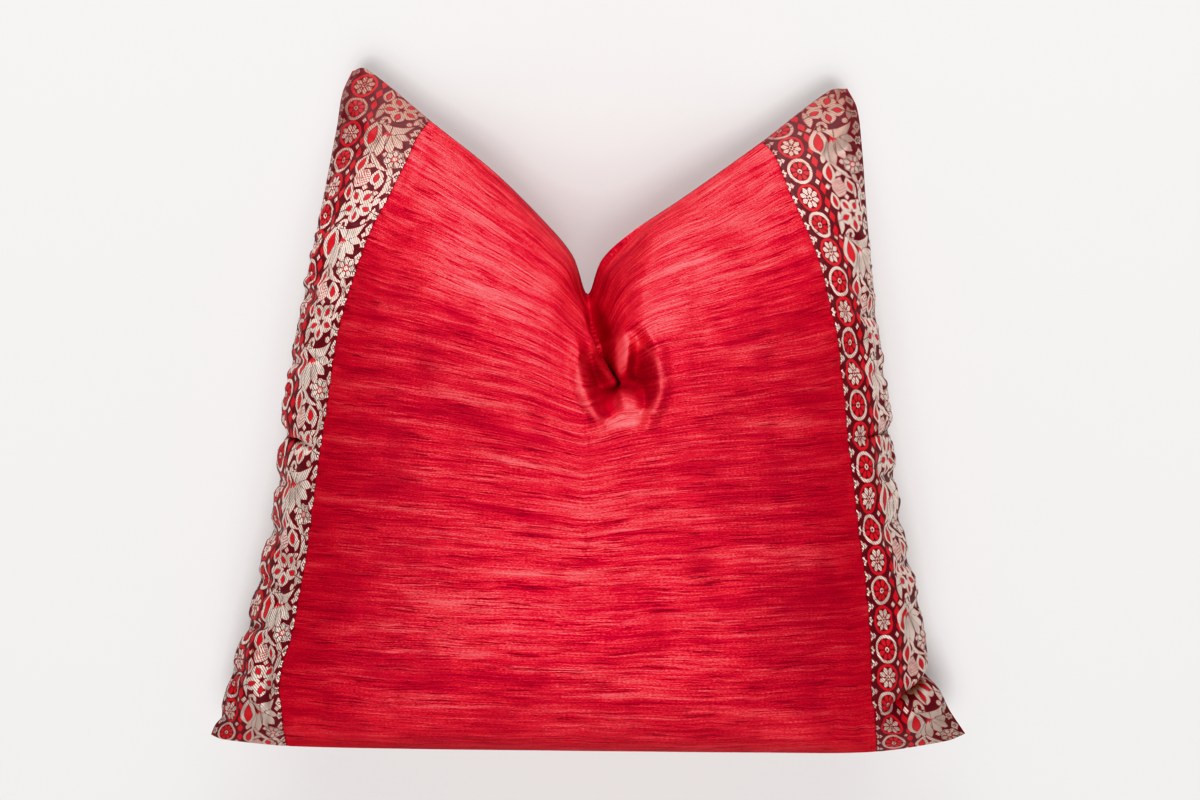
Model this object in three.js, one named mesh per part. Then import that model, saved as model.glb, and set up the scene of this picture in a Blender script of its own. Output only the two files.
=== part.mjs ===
// A square euro cushion cover on its filling: a plain red centre panel between two woven borders, and a
// plain back. It lies on its back, face up. +X is the right of the face, +Y its top edge with the two
// corners that stand up beside the dent, and +Z points away from the floor. Millimetres.
import * as THREE from "three";

const borderShare = 0.124; // of the cover's width, one border's finished width: 82 of 660
const sheet = { thick: 1.5, gap: 0.5 }; // the cloth of a border or the back, and its play over the filling
const seamEdge = 5; // height of the seam's edge, where the layers turn in
const rest = { reach: 0.42, curl: 1.7 }; // how far in from the seam the back meets the floor, and how roundly

// The side seams, from the bottom corners (v 0) to the top corners (v 1).
const sides = [
  { v: 0.0, leftX: -324, leftY: -280, rightX: 323, rightY: -279, z: 44 },
  { v: 0.05, leftX: -313, leftY: -252, rightX: 306, rightY: -254, z: 60 },
  { v: 0.1, leftX: -304, leftY: -221, rightX: 291, rightY: -225, z: 72 },
  { v: 0.2, leftX: -284, leftY: -164, rightX: 279, rightY: -165, z: 90 },
  { v: 0.35, leftX: -263, leftY: -79, rightX: 260, rightY: -83, z: 102 },
  { v: 0.5, leftX: -254, leftY: 4, rightX: 252, rightY: -2, z: 104 },
  { v: 0.65, leftX: -240, leftY: 88, rightX: 241, rightY: 78, z: 98 },
  { v: 0.8, leftX: -225, leftY: 172, rightX: 235, rightY: 160, z: 82 },
  { v: 0.92, leftX: -215, leftY: 242, rightX: 233, rightY: 228, z: 58 },
  { v: 0.97, leftX: -211, leftY: 271, rightX: 230, rightY: 258, z: 47 },
  { v: 1.0, leftX: -203, leftY: 290, rightX: 222, rightY: 275, z: 42 },
];

// The bottom seam, from the left corner (u 0) to the right one (u 1).
const bottom = [
  { u: 0.0, x: -324, y: -280, z: 44 },
  { u: 0.03, x: -312, y: -283, z: 52 },
  { u: 0.124, x: -256, y: -286, z: 70 },
  { u: 0.3, x: -146, y: -286, z: 88 },
  { u: 0.5, x: -1, y: -287, z: 92 },
  { u: 0.7, x: 140, y: -289, z: 88 },
  { u: 0.876, x: 244, y: -291, z: 70 },
  { u: 0.97, x: 307, y: -284, z: 52 },
  { u: 1.0, x: 323, y: -279, z: 44 },
];

// The top seam, which runs from one standing corner down into the dent and up to the other.
const top = [
  { u: 0.0, x: -203, y: 290, z: 42 },
  { u: 0.03, x: -190, y: 291, z: 48 },
  { u: 0.124, x: -139, y: 248, z: 66 },
  { u: 0.25, x: -79, y: 199, z: 90 },
  { u: 0.35, x: -36, y: 156, z: 96 },
  { u: 0.43, x: -13, y: 128, z: 92 },
  { u: 0.5, x: -1, y: 97, z: 78 },
  { u: 0.57, x: 11, y: 125, z: 92 },
  { u: 0.65, x: 36, y: 148, z: 96 },
  { u: 0.75, x: 80, y: 178, z: 90 },
  { u: 0.876, x: 151, y: 230, z: 66 },
  { u: 0.97, x: 205, y: 272, z: 48 },
  { u: 1.0, x: 222, y: 275, z: 42 },
];

// Across the cover at each height: bow is the half angle in radians that the cloth turns through from the
// middle to a side seam, and crown is how high its middle stands above the seams.
const crowns = [
  { v: 0.0, bow: 0.65, crown: 0 },
  { v: 0.04, bow: 0.85, crown: 62 },
  { v: 0.1, bow: 1.09, crown: 98 },
  { v: 0.2, bow: 1.15, crown: 124 },
  { v: 0.35, bow: 1.23, crown: 136 },
  { v: 0.5, bow: 1.22, crown: 138 },
  { v: 0.65, bow: 1.3, crown: 133 },
  { v: 0.8, bow: 1.17, crown: 112 },
  { v: 0.92, bow: 0.7, crown: 76 },
  { v: 0.97, bow: 0.55, crown: 44 },
  { v: 1.0, bow: 0.5, crown: 0 },
];

// The dent pressed into the top edge, from the rim of its bowl up to the notch: at each y, the x of its
// deepest line, how deep it is, and how far its slopes reach to the left and the right.
const dent = [
  { y: -22, x: 23, depth: 0, left: 34, right: 34 },
  { y: -6, x: 23, depth: 8, left: 36, right: 36 },
  { y: 8, x: 23, depth: 30, left: 38, right: 38 },
  { y: 24, x: 21, depth: 52, left: 38, right: 40 },
  { y: 44, x: 14, depth: 68, left: 32, right: 46 },
  { y: 68, x: 6, depth: 82, left: 30, right: 52 },
  { y: 96, x: -1, depth: 94, left: 38, right: 58 },
  { y: 130, x: -1, depth: 98, left: 44, right: 62 },
];

// How far the dent's deepest line leans from the cover's middle, as a share of the cover's width.
const leans = [
  { v: 0.0, share: 0 },
  { v: 0.35, share: 0.01 },
  { v: 0.5, share: 0.036 },
  { v: 0.65, share: 0.034 },
  { v: 0.7, share: 0.024 },
  { v: 0.8, share: 0.008 },
  { v: 0.9, share: 0 },
  { v: 1.0, share: 0 },
];

// Puckers and folds across the borders: side is -1 at the left seam and 1 at the right, v is where the
// trough meets the seam and slant how far it climbs towards the middle, width and reach are shares of the
// cover, and depth is in millimetres.
const troughs = [
  { side: -1, v: 0.455, slant: -0.01, width: 0.028, reach: 0.13, depth: 6 },
  { side: -1, v: 0.3, slant: 0.02, width: 0.03, reach: 0.1, depth: 4 },
  { side: -1, v: 0.15, slant: 0.02, width: 0.03, reach: 0.1, depth: 5 },
  { side: 1, v: 0.47, slant: 0.0, width: 0.028, reach: 0.13, depth: 7 },
  { side: 1, v: 0.28, slant: -0.02, width: 0.03, reach: 0.1, depth: 4 },
  { side: 1, v: 0.115, slant: -0.04, width: 0.03, reach: 0.13, depth: 13 },
];

// Where the face's grid lines lie, closer together where the cloth turns faster. The back has every second
// line.
const uLines = [
  ...spread(0, borderShare, 6),
  ...spread(borderShare, 0.38, 8),
  ...spread(0.38, 0.62, 16),
  ...spread(0.62, 1 - borderShare, 8),
  ...spread(1 - borderShare, 1, 6),
  1,
];
const vLines = [
  ...spread(0, 0.08, 4),
  ...spread(0.08, 0.48, 14),
  ...spread(0.48, 0.68, 10),
  ...spread(0.68, 0.92, 8),
  ...spread(0.92, 1, 4),
  1,
];
const everySecond = (lines) => lines.filter((_, i) => i % 2 === 0);
const [backU, backV] = [everySecond(uLines), everySecond(vLines)];

// Steps of equal length from one value up to, but without, another.
function spread(from, to, steps) {
  return Array.from({ length: steps }, (_, i) => from + ((to - from) * i) / steps);
}

// A smooth curve through a table's rows: the column's value where the key column has the value at.
function read(table, key, column, at) {
  const last = table.length - 1;
  const t = Math.min(Math.max(at, table[0][key]), table[last][key]);
  let i = 0;
  while (i < last - 1 && t > table[i + 1][key]) i += 1;
  const slope = (k) => {
    const a = table[Math.max(k - 1, 0)];
    const b = table[Math.min(k + 1, last)];
    return (b[column] - a[column]) / (b[key] - a[key]);
  };
  const [p, q] = [table[i], table[i + 1]];
  const h = q[key] - p[key];
  const s = (t - p[key]) / h;
  const rise = s * s * (3 - 2 * s);
  return (
    p[column] * (1 - rise) +
    q[column] * rise +
    h * s * (1 - s) * ((1 - s) * slope(i) - s * slope(i + 1))
  );
}

const mix = (a, b, t) => a + (b - a) * t;

// Where the cloth's point (u, v) lies above the floor plan, and how high a flat cover between the same
// seams would lie there. The rows across follow an arc between the side seams, and near the top and
// bottom they take the shape of that seam.
function plan(u, v) {
  const [across, bow] = [2 * u - 1, read(crowns, "v", "bow", v)];
  const turn = 0.5 + (0.5 * Math.sin(bow * across)) / Math.sin(bow);
  const row = (share, height, turned) => ({
    x: mix(read(sides, "v", "leftX", height), read(sides, "v", "rightX", height), turned),
    y: mix(read(sides, "v", "leftY", height), read(sides, "v", "rightY", height), share),
    z: read(sides, "v", "z", height),
  });
  const here = row(u, v, turn);
  const ends = [
    { seam: bottom, height: 0, pull: (1 - v) ** 5 },
    { seam: top, height: 1, pull: v ** (2.4 + 0.5 * Math.sin(Math.PI * Math.min(1, Math.abs(across)))) },
  ];
  for (const { seam, height, pull } of ends) {
    const endBow = read(crowns, "v", "bow", height);
    const straight = row(u, height, 0.5 + (0.5 * Math.sin(endBow * across)) / Math.sin(endBow));
    for (const axis of ["x", "y", "z"]) here[axis] += (read(seam, "u", axis, u) - straight[axis]) * pull;
  }
  return here;
}

// How deep the dent is at a place in plan: full on its deepest line, and gone where its slopes end.
function dentDepth(x, y) {
  const off = x - read(dent, "y", "x", y);
  const share = Math.min(1, Math.abs(off) / read(dent, "y", off < 0 ? "left" : "right", y));
  return read(dent, "y", "depth", y) * (1 - share ** 1.5) ** 2;
}

// How far the troughs draw the cloth in at (u, v): towards the cover's middle line, and down into the face.
function troughPull(u, v) {
  const pull = { middle: 0, down: 0 };
  for (const { side, v: at, slant, width, reach, depth } of troughs) {
    const inwards = Math.min(1, (side < 0 ? u : 1 - u) / reach);
    const off = (v - at - slant * inwards) / width;
    const deep = depth * Math.exp(-off * off);
    pull.middle -= side * deep * (1 - inwards ** 2) ** 2;
    pull.down += deep * 2 * inwards * (1 - inwards) ** 2;
  }
  return pull;
}

// The share of the crown that a point across the cover has: 1 in the middle, 0 at the side seams.
function dome(u, v) {
  const bow = Math.max(0.9, read(crowns, "v", "bow", v));
  return (Math.cos(bow * (2 * u - 1)) - Math.cos(bow)) / (1 - Math.cos(bow));
}

function front(column, v) {
  const middling = Math.max(0, 1 - ((column - 0.5) / 0.3) ** 2) ** 2;
  const u = column + read(leans, "v", "share", v) * middling;
  const { x, y, z } = plan(u, v);
  const crown = read(crowns, "v", "crown", v) * dome(u, v);
  const high = Math.max(0, crown - Math.min(crown * 0.9, dentDepth(x, y)));
  const { middle, down } = troughPull(u, v);
  return new THREE.Vector3(x + middle, y, z + seamEdge / 2 + high - down);
}

function back(u, v) {
  const { x, y, z } = plan(u, v);
  const inside = Math.min(1, (16 * u * (1 - u) * v * (1 - v)) / rest.reach);
  const height = Math.max(0, (z - seamEdge / 2) * (1 - inside) ** rest.curl);
  return new THREE.Vector3(x + troughPull(u, v).middle, y, height);
}

// A face's point moved in by a depth, square to the face.
function sunk(face, u, v, depth) {
  const step = 0.01;
  const [u0, u1] = [Math.max(0, u - step), Math.min(1, u + step)];
  const [v0, v1] = [Math.max(0, v - step), Math.min(1, v + step)];
  const alongU = face(u1, v).sub(face(u0, v));
  const alongV = face(u, v1).sub(face(u, v0));
  const inwards = alongU.cross(alongV).normalize().multiplyScalar(face === front ? -1 : 1);
  return face(u, v).addScaledVector(inwards, depth);
}

// A grid of points on a face, one list for each of its columns, from the bottom edge to the top one.
const grid = (us, vs, point) => us.map((u) => vs.map((v) => point(u, v)));

// A grid's rim: along the bottom edge, up the right side, back along the top edge and down the left side.
function rim(points) {
  const [last, height] = [points.length - 1, points[0].length - 1];
  return [
    points.map((column) => column[0]),
    points[last],
    points.map((column) => column[height]).reverse(),
    [...points[0]].reverse(),
  ];
}

// A wall between two lines of points that run side by side, whose next rung is always the shorter one.
function wall(above, below, triangle) {
  let [i, j] = [0, 0];
  while (i + 1 < above.length || j + 1 < below.length) {
    const upFirst =
      j + 1 === below.length ||
      (i + 1 < above.length && above[i + 1].distanceTo(below[j]) <= above[i].distanceTo(below[j + 1]));
    if (upFirst) {
      triangle(above[i], below[j], above[i + 1]);
      i += 1;
    } else {
      triangle(above[i], below[j], below[j + 1]);
      j += 1;
    }
  }
}

// The solid between two grids, upper and lower, with a wall all round.
function between(upper, lower) {
  const positions = [];
  const triangle = (a, b, c) => {
    const empty = a.distanceTo(b) < 1e-6 || b.distanceTo(c) < 1e-6 || c.distanceTo(a) < 1e-6;
    if (!empty) positions.push(...a, ...b, ...c);
  };
  const surface = (points, turned) => {
    for (let i = 0; i + 1 < points.length; i += 1) {
      for (let j = 0; j + 1 < points[i].length; j += 1) {
        const [a, b] = [points[i][j], points[i + 1][j + 1]];
        const [c, d] = turned ? [points[i][j + 1], points[i + 1][j]] : [points[i + 1][j], points[i][j + 1]];
        triangle(a, c, b);
        triangle(a, b, d);
      }
    }
  };
  surface(upper, false);
  surface(lower, true);
  const lowerRim = rim(lower);
  rim(upper).forEach((above, k) => wall(above, lowerRim[k], triangle));
  const geometry = new THREE.BufferGeometry();
  geometry.setAttribute("position", new THREE.Float32BufferAttribute(positions, 3));
  geometry.computeVertexNormals();
  return geometry;
}

// The filled cushion: its face is the centre panel, and it is cut back under each border and over the
// whole back by a cloth's thickness and its play.
function filledCentre() {
  const bed = sheet.thick + sheet.gap;
  const steps = [borderShare, 1 - borderShare];
  const columns = uLines.flatMap((u) => {
    if (u === steps[0]) return [[u, bed], [u, 0]];
    if (u === steps[1]) return [[u, 0], [u, bed]];
    return [[u, u < steps[0] || u > steps[1] ? bed : 0]];
  });
  const face = columns.map(([u, depth]) => vLines.map((v) => (depth ? sunk(front, u, v, depth) : front(u, v))));
  return between(face, grid(backU, backV, (u, v) => sunk(back, u, v, bed)));
}

// A border: a woven strip from a side seam to the centre panel, lying in its cut-back bed.
function border(side) {
  const us = uLines.filter((u) => (side < 0 ? u <= borderShare : u >= 1 - borderShare));
  us[side < 0 ? us.length - 1 : 0] += side * 2 * (sheet.gap / 660);
  return between(
    grid(us, vLines, front),
    grid(us, vLines, (u, v) => sunk(front, u, v, sheet.thick)),
  );
}

// The back: one plain panel from seam to seam, flat where it lies on the floor.
function backPanel() {
  return between(
    grid(backU, backV, (u, v) => sunk(back, u, v, sheet.thick)),
    grid(backU, backV, back),
  );
}

const silk = new THREE.MeshStandardMaterial({ color: 0xdc2c41, roughness: 0.45, metalness: 0 });
const brocade = new THREE.MeshStandardMaterial({ color: 0x9c7a72, roughness: 0.4, metalness: 0.3 });
const plainCloth = new THREE.MeshStandardMaterial({ color: 0xa81f2f, roughness: 0.85, metalness: 0 });

const cushion = new THREE.Group();
const pieces = [
  ["filled_centre_panel", filledCentre(), silk],
  ["left_border", border(-1), brocade],
  ["right_border", border(1), brocade],
  ["back_panel", backPanel(), plainCloth],
];
for (const [name, geometry, material] of pieces) {
  const mesh = new THREE.Mesh(geometry, material);
  mesh.name = name;
  cushion.add(mesh);
}
const box = new THREE.Box3().setFromObject(cushion);
const middle = box.getCenter(new THREE.Vector3());
cushion.position.set(-middle.x, -middle.y, -box.min.z);

export default cushion;
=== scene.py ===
import math

import bpy
import numpy as np
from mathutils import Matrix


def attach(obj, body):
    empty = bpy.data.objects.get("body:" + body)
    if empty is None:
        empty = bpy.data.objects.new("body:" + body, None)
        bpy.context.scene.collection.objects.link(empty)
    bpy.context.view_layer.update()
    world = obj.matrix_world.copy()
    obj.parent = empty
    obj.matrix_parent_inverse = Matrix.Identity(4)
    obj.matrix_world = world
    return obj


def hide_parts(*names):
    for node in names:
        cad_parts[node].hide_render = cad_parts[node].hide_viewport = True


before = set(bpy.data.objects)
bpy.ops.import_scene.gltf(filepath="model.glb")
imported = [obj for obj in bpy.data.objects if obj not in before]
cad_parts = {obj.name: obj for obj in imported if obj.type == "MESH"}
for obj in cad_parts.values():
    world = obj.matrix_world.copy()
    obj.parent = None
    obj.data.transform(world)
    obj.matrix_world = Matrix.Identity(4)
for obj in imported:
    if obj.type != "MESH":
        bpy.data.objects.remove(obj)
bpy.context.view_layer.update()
print("stage: frame loaded")

# The cover's cloth is laid out in two shares: u from the left side seam (0) to the right one (1), and v
# from the bottom seam (0) to the top one (1). Lengths are in millimetres, and the meshes in metres.
cover = {
    "across": 660.0,  # flat width and height of the cover
    "borderShare": 0.124,  # one border's finished width, 82 of 660
    "clothThick": 1.5,
    "play": 0.5,  # air between a piece and the filling under it
    "seamEdge": 5.0,  # height of the turned-in layers at the seam
    "restReach": 0.42,  # how far in from the seam the back meets the floor
    "restCurl": 1.7,
    "shiftX": 0.65,  # puts the middle of the box over the origin
    "sharpFrom": 50.0,  # degrees between faces from which an edge is drawn sharp
    "bottomPull": 5, "topPull": 2.4, "topMore": 0.5,  # powers by which a row nears the seams' shape
    "flattestDome": 0.9,  # least bow, in radians, that shapes the crown
}


def table(columns, *rows):
    # named columns of numbers, the first one being the key
    return dict(zip(columns.split(), np.array(rows, float).T))


def read(rows, column, at):
    # a cubic through the table's rows whose slope at each row is that between its two neighbours
    key, values = next(iter(rows.values())), rows[column]
    at = np.clip(at, key[0], key[-1])
    i = np.clip(np.searchsorted(key, at, side="right") - 1, 0, len(key) - 2)
    near = np.arange(len(key))
    before, after = np.maximum(near - 1, 0), np.minimum(near + 1, len(key) - 1)
    slope = (values[after] - values[before]) / (key[after] - key[before])
    h = key[i + 1] - key[i]
    s = (at - key[i]) / h
    rise = s * s * (3 - 2 * s)
    bend = h * s * (1 - s) * ((1 - s) * slope[i] - s * slope[i + 1])
    return values[i] * (1 - rise) + values[i + 1] * rise + bend


def smooth(t):
    # 0 below 0, 1 above 1, and 3t^2 - 2t^3 in between
    t = np.clip(t, 0, 1)
    return t * t * (3 - 2 * t)


sides = table(
    "v leftX leftY rightX rightY z",
    (0.00, -324, -280, 323, -279, 44),
    (0.05, -313, -252, 306, -254, 60),
    (0.10, -304, -221, 291, -225, 72),
    (0.20, -284, -164, 279, -165, 90),
    (0.35, -263, -79, 260, -83, 102),
    (0.50, -254, 4, 252, -2, 104),
    (0.65, -240, 88, 241, 78, 98),
    (0.80, -225, 172, 235, 160, 82),
    (0.92, -215, 242, 233, 228, 58),
    (0.97, -211, 271, 230, 258, 47),
    (1.00, -203, 290, 222, 275, 42),
)

bottomSeam = table(
    "u x y z",
    (0.000, -324, -280, 44),
    (0.030, -312, -283, 52),
    (0.124, -256, -286, 70),
    (0.300, -146, -286, 88),
    (0.500, -1, -287, 92),
    (0.700, 140, -289, 88),
    (0.876, 244, -291, 70),
    (0.970, 307, -284, 52),
    (1.000, 323, -279, 44),
)

topSeam = table(
    "u x y z",
    (0.000, -203, 290, 42),
    (0.030, -190, 291, 48),
    (0.124, -134.5, 245, 66),
    (0.250, -79, 199, 90),
    (0.350, -36, 156, 96),
    (0.430, -13, 128, 92),
    (0.500, -1, 97, 78),
    (0.570, 11, 125, 92),
    (0.650, 36, 148, 96),
    (0.750, 80, 178, 90),
    (0.876, 147, 227, 66),
    (0.970, 205, 272, 48),
    (1.000, 222, 275, 42),
)

# bow is the half angle, in radians, that the cloth turns through from the middle to a side seam; crown is
# how high the middle stands above the seams
crowns = table(
    "v bow crown",
    (0.00, 0.65, 0),
    (0.04, 0.85, 62),
    (0.10, 1.09, 98),
    (0.20, 1.15, 124),
    (0.35, 1.23, 136),
    (0.50, 1.22, 138),
    (0.65, 1.30, 133),
    (0.80, 1.17, 112),
    (0.92, 0.70, 76),
    (0.97, 0.55, 44),
    (1.00, 0.50, 0),
)

# The dent, a section to each row: the x of the bowl's two rims and two walls' feet, of the fold that hangs
# over from the left, of the slit beside it and of the two sides of the ridge on its right, with how deep
# each lies. over is how far the left fold hangs over the slit.
dentSections = table(
    "y rimL footL fold slit ridgeL ridgeR footR rimR "
    "deepL deepFold deepSlit deepRidgeL deepRidgeR deepR over",
    (-20, 12, 16, 20, 24, 28, 32, 36, 42, 0, 0, 0, 0, 0, 0, 0),
    (-12, 9, 14, 19, 24, 29, 34, 39, 46, 1, 2, 2, 2, 2, 1, 0),
    (-6, 7, 13, 19, 24, 29, 35, 41, 49, 5, 8, 8, 8, 8, 5, 0),
    (2, 2.5, 9, 15, 22, 29, 36, 44, 53, 13, 19, 15, 9, 9, 12, 0),
    (11, -2, 7, 15, 22, 27, 34, 44, 56, 24, 32, 28, 19, 20, 22, 0),
    (17, -4.5, 7.5, 15.5, 23, 27, 32.5, 43, 57, 32, 36, 37, 29, 30, 28, 0),
    (21, -5.6, 8, 17.5, 24, 27, 31, 40, 57, 36, 24, 52, 27, 30, 34, 3),
    (28, -7, 5, 12, 18.5, 24, 29, 37, 56.5, 37, 14, 72, 15, 16, 38, 5),
    (36, -7.5, 1.5, 7, 12.5, 23.5, 30, 38, 55.5, 31, 8, 80, 10, 8, 32, 6),
    (46, -7, -2, 2.5, 8, 23, 31, 39, 54, 16, 4, 84, 10, 4, 20, 6),
    (53, -9, -4.5, 0, 6, 22.5, 31, 39, 51, 6, 3, 86, 15, 4, 12, 6),
    (61, -12.5, -8, -3, 4.5, 18.5, 28, 36, 47, 2, 2, 88, 28, 10, 8, 5),
    (70, -17, -11.5, -6, 2.5, 13.5, 23, 33, 45, 1, 2, 90, 39, 15, 4, 4),
    (80, -22, -15, -8, 1.5, 10, 19, 30, 45, 1, 3, 93, 50, 23, 8, 3),
    (97, -28, -20, -12, -1, 7, 16, 27, 46, 1, 6, 98, 66, 38, 15, 0),
    (130, -32, -22, -12, -1, 8, 18, 31, 54, 2, 12, 100, 78, 52, 26, 0),
)

dentForm = {
    "rimEnd": 24.0, "hollowAt": 9.0,  # how far outside the rims the dent ends and its hollow runs
    "hollow": 1.2, "proud": 3.0,  # depth of the hollow, and how far the rims stand up
    "proudRows": (-22.0, 66.0), "proudFade": 16.0,
    "leanWidth": 6.0,  # half width of the fold's edge that leans over
    "deepest": 0.92,  # the most that the dent takes of the crown's height
}

# Puckers and folds across the borders. side is -1 at the left seam and 1 at the right; v is where the
# trough meets the seam, climb how far it climbs on its way in, width and reach are shares of the cover;
# draw is how far it pulls the seam in and sink how far it presses the cloth down
troughs = table(
    "side v climb width reach draw sink",
    (-1, 0.455, -0.012, 0.013, 0.14, 6.0, 60),
    (-1, 0.385, 0.005, 0.013, 0.09, 3.2, 8),
    (-1, 0.310, 0.015, 0.018, 0.10, 4.4, 10),
    (-1, 0.235, 0.012, 0.014, 0.08, 3.6, 9),
    (-1, 0.165, 0.018, 0.016, 0.10, 5.4, 14),
    (-1, 0.095, 0.016, 0.015, 0.08, 3.4, 9),
    (-1, 0.032, 0.004, 0.011, 0.05, 4.0, 5),
    (-1, 0.560, 0.006, 0.012, 0.08, 2.0, 5),
    (-1, 0.660, 0.004, 0.014, 0.09, 1.4, 4),
    (1, 0.468, 0.000, 0.011, 0.13, 5.0, 60),
    (1, 0.400, 0.006, 0.013, 0.08, 3.0, 8),
    (1, 0.335, -0.006, 0.014, 0.08, 3.0, 8),
    (1, 0.270, -0.012, 0.014, 0.09, 3.4, 9),
    (1, 0.205, -0.014, 0.014, 0.08, 2.4, 7),
    (1, 0.104, -0.040, 0.012, 0.12, 8.0, 130),
    (1, 0.072, -0.034, 0.014, 0.11, -1.5, -24),
    (1, 0.560, 0.004, 0.013, 0.08, 2.0, 5),
    (1, 0.650, 0.002, 0.014, 0.08, 1.4, 4),
)


# A trough of this depth is shut, its sides drawn over it by closing millimetres for a width of 1
troughForm = {"shutDeep": 12.0, "closing": 588.0}


def planPoint(u, v):
    # where cloth point (u, v) lies with no crown: a row across is an arc seen from above, from side seam to
    # side seam, and is pulled towards the shape of the bottom and the top seam as v nears them
    across, bow = 2 * u - 1, read(crowns, "bow", v)
    endPull = (1 - v) ** cover["bottomPull"]
    more = cover["topMore"] * np.sin(math.pi * np.minimum(1, np.abs(across)))
    topPull = v ** (cover["topPull"] + more)
    turn = 0.5 + 0.5 * np.sin(bow * across) / np.sin(bow)
    point = {}
    for axis, left, right in (("x", "leftX", "rightX"), ("y", "leftY", "rightY"), ("z", "z", "z")):
        def straight(height, share):
            return read(sides, left, height) * (1 - share) + read(sides, right, height) * share
        share = turn if axis == "x" else u
        here = straight(v, share)
        for seam, height, pull in ((bottomSeam, 0.0, endPull), (topSeam, 1.0, topPull)):
            endBow = read(crowns, "bow", height)
            endShare = 0.5 + 0.5 * np.sin(endBow * across) / math.sin(endBow) if axis == "x" else u
            here = here + (read(seam, axis, u) - straight(height, endShare)) * pull
        point[axis] = here
    return point["x"], point["y"], point["z"]


def troughPull(u, v):
    # how far the troughs draw the cloth in: towards the middle line, fading with a squared parabola, and
    # down, most at a third of the way in; each has a bell shape along the seam, and both its sides close up
    # over it, the more so the deeper it is
    middle, down, along = np.zeros(np.shape(u)), np.zeros(np.shape(u)), np.zeros(np.shape(u))
    for side, at, climb, width, reach, draw, sink in zip(*troughs.values()):
        inwards = np.minimum(1, (u if side < 0 else 1 - u) / reach)
        off = (v - at - climb * inwards) / width
        bell = np.exp(-off ** 2)
        middle = middle - side * draw * bell * (1 - inwards ** 2) ** 2
        deep = sink * inwards * (1 - inwards) ** 2
        down = down + deep * bell
        shut = np.clip(deep, 0, troughForm["shutDeep"]) / troughForm["shutDeep"]
        along = along - troughForm["closing"] * shut * width * off * bell
    return middle, down, along


def dentShape(x, y):
    # depth of the dent at (x, y): in each section a cubic runs through its rims, feet, fold, slit and ridge
    # with central slopes, limited so that it never swings past a knot; the second value is how far the left
    # fold leans over the slit
    row = {name: read(dentSections, name, y) for name in dentSections if name != "y"}
    (low, high), fade = dentForm["proudRows"], dentForm["proudFade"]
    end, near = dentForm["rimEnd"], dentForm["hollowAt"]
    proud = smooth((y - low) / fade) * smooth((high - y) / fade)  # the rims stand up from a shallow hollow
    hollow, rim = dentForm["hollow"] * proud, -dentForm["proud"] * proud
    inner = [row[name] for name in "rimL footL fold slit ridgeL ridgeR footR rimR".split()]
    deeper = [row[name] for name in "deepL deepFold deepSlit deepRidgeL deepRidgeR deepR".split()]
    knots = [inner[0] - end, inner[0] - near, *inner, inner[-1] + near, inner[-1] + end]
    deeps = [0 * y, hollow, rim, *deeper, rim, hollow, 0 * y]
    spans = range(len(knots) - 1)
    rises = [(deeps[k + 1] - deeps[k]) / (knots[k + 1] - knots[k]) for k in spans]
    slopes = [0 * y]
    for before, after in zip(rises[:-1], rises[1:]):
        both = before * after
        slopes.append(np.where(both > 0, 2 * both / np.where(both > 0, before + after, 1), 0))
    slopes.append(0 * y)
    depth = np.zeros(np.shape(x))
    for k in spans:
        h = knots[k + 1] - knots[k]
        t = (x - knots[k]) / h
        curve = deeps[k] + (deeps[k + 1] - deeps[k]) * t * t * (3 - 2 * t)
        curve = curve + h * t * (1 - t) * ((1 - t) * slopes[k] - t * slopes[k + 1])
        depth = np.where((t >= 0) & (t < 1), curve, depth)
    lean = row["over"] * np.exp(-((x - row["fold"]) / dentForm["leanWidth"]) ** 2)
    return depth, lean


def frontPoint(u, v, dented=True):
    # the face: the plan, raised by the crown, whose height across falls as a cosine from the middle to the
    # side seams, and, where dented, lowered by the dent and the troughs
    x, y, z = planPoint(u, v)
    bow = np.maximum(cover["flattestDome"], read(crowns, "bow", v))
    dome = (np.cos(bow * (2 * u - 1)) - np.cos(bow)) / (1 - np.cos(bow))
    crown = read(crowns, "crown", v) * dome
    if not dented:
        return np.stack([x, y, z + cover["seamEdge"] / 2 + crown], -1)
    depth, lean = dentShape(x, y)
    # the dent is never deeper than the crown: a soft least of the two, from the sum of their inverse cubes
    room = np.maximum(crown * dentForm["deepest"], 0.1)
    pressed = np.where(depth > 0.1, (np.maximum(depth, 0.1) ** -3 + room ** -3) ** (-1 / 3), depth)
    high = np.maximum(0, crown - pressed)
    middle, down, along = troughPull(u, v)
    return np.stack([x + middle + lean, y + along, z + cover["seamEdge"] / 2 + high - down], -1)


def backPoint(u, v):
    # the back: the plan, which falls from the seam to the floor and stays flat there
    x, y, z = planPoint(u, v)
    inside = np.minimum(1, 16 * u * (1 - u) * v * (1 - v) / cover["restReach"])
    high = np.maximum(0, (z - cover["seamEdge"] / 2) * (1 - inside) ** cover["restCurl"])
    return np.stack([x + troughPull(u, v)[0], y, high], -1)


def squareOn(grid):
    # unit normals of a grid of points, from its slopes along both directions
    normal = np.cross(np.gradient(grid, axis=0), np.gradient(grid, axis=1))
    return normal / np.maximum(1e-9, np.linalg.norm(normal, axis=-1, keepdims=True))


def waves(u, v, spec):
    # a sum of sine waves, each with its count across, its count up, its phase and its height
    total = np.zeros(np.shape(u))
    for across, up, phase, height in spec:
        total = total + height * np.sin(2 * math.pi * (across * u + up * v) + phase)
    return total


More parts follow.
